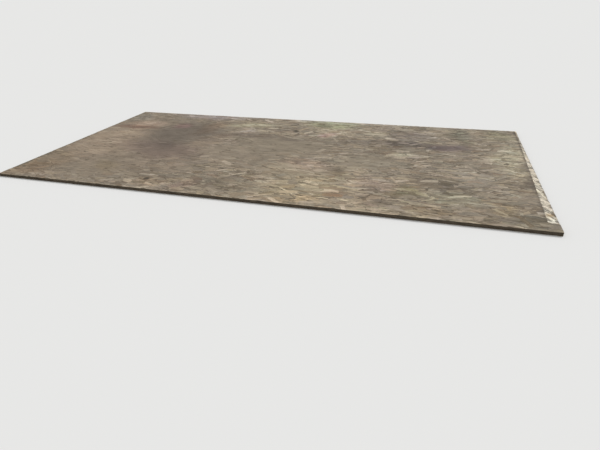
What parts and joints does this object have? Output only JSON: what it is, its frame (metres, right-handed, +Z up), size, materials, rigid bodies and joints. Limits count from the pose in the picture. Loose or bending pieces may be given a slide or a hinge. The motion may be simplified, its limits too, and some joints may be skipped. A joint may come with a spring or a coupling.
{
  "type": "osb board",
  "caption": "Full sheet of oriented strand board, square edged and weathered, with a tapered strip of face strands torn off along one short end.",
  "frame": {"origin": "middle of the underside, on the floor that the sheet lies on", "axes": "+X along the sheet's length towards the end with the torn strip, +Y across its width, +Z up through its thickness"},
  "size_m": [2.44, 1.22, 0.015],
  "materials": {
    "pressed_strands": "matt, weathered"
  },
  "bodies": {
    "root": {"osb_board": "pressed_strands"}
  },
  "joints": []
}
